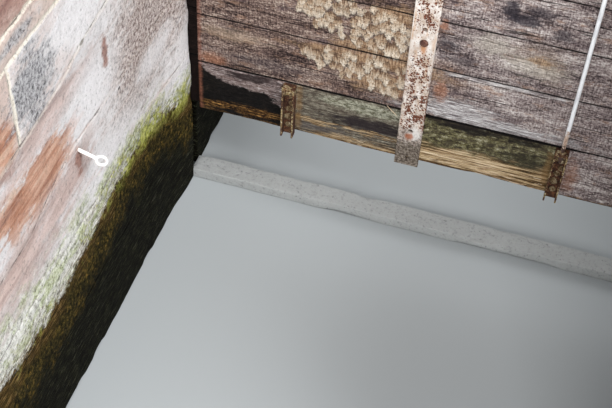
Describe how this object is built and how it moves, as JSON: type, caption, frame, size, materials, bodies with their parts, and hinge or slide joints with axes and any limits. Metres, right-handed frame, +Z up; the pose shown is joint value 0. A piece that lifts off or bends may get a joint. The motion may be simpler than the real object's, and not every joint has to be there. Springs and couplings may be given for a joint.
{
  "type": "timber sluice gate",
  "caption": "Timber sluice gate leaf that slides in stop grooves between two sandstone walls, with straps, brackets, a tie rod, and a toothed rack through a head frame.",
  "frame": {"origin": "on the bed, midway between the two walls, in the plane of the leaf's downstream face", "axes": "+X across the waterway to the right as seen from downstream, +Y upstream, +Z up"},
  "size_m": [2.77, 2.5, 3.18],
  "materials": {
    "wall_sandstone": "weathered, wet and dark near the water",
    "coping_sandstone": "weathered",
    "frame_oak": "weathered oak",
    "weathered_oak": "old wet oak with flaking coating",
    "rusty_iron": "rusted",
    "cream_painted_iron": "cream paint with rust pits",
    "galvanised_steel": "dull zinc",
    "dark_cast_iron": "dark, rust in the corners",
    "white_painted_iron": "gloss white"
  },
  "bodies": {
    "structure": {"left_downstream_wall": "wall_sandstone", "left_groove_backing": "wall_sandstone", "left_upstream_wall": "wall_sandstone", "right_downstream_wall": "wall_sandstone", "right_groove_backing": "wall_sandstone", "right_upstream_wall": "wall_sandstone", "left_downstream_coping": "coping_sandstone", "left_middle_coping": "coping_sandstone", "left_upstream_coping": "coping_sandstone", "right_downstream_coping": "coping_sandstone", "right_middle_coping": "coping_sandstone", "right_upstream_coping": "coping_sandstone", "sill": "coping_sandstone", "left_post": "frame_oak", "right_post": "frame_oak", "downstream_head_beam": "frame_oak", "upstream_head_beam": "frame_oak", "rack_housing": "dark_cast_iron", "pinion_shaft": "dark_cast_iron", "left_eye_bolt": "white_painted_iron", "right_eye_bolt": "white_painted_iron"},
    "leaf": {"plank_1": "weathered_oak", "plank_2": "weathered_oak", "plank_3": "weathered_oak", "plank_4": "weathered_oak", "plank_5": "weathered_oak", "plank_6": "weathered_oak", "plank_7": "weathered_oak", "centre_strap": "cream_painted_iron", "left_back_strap": "rusty_iron", "centre_back_strap": "rusty_iron", "right_back_strap": "rusty_iron", "left_bottom_bracket": "rusty_iron", "right_bottom_bracket": "rusty_iron", "left_top_bracket": "rusty_iron", "right_top_bracket": "rusty_iron", "tie_rod": "galvanised_steel", "rod_stub": "rusty_iron", "rack": "dark_cast_iron"}
  },
  "joints": [
    {"name": "leaf_lift", "type": "slide", "parent": "structure", "child": "leaf", "axis": [0, 0, 1], "range_m": [-0.345, 0.6]}
  ]
}
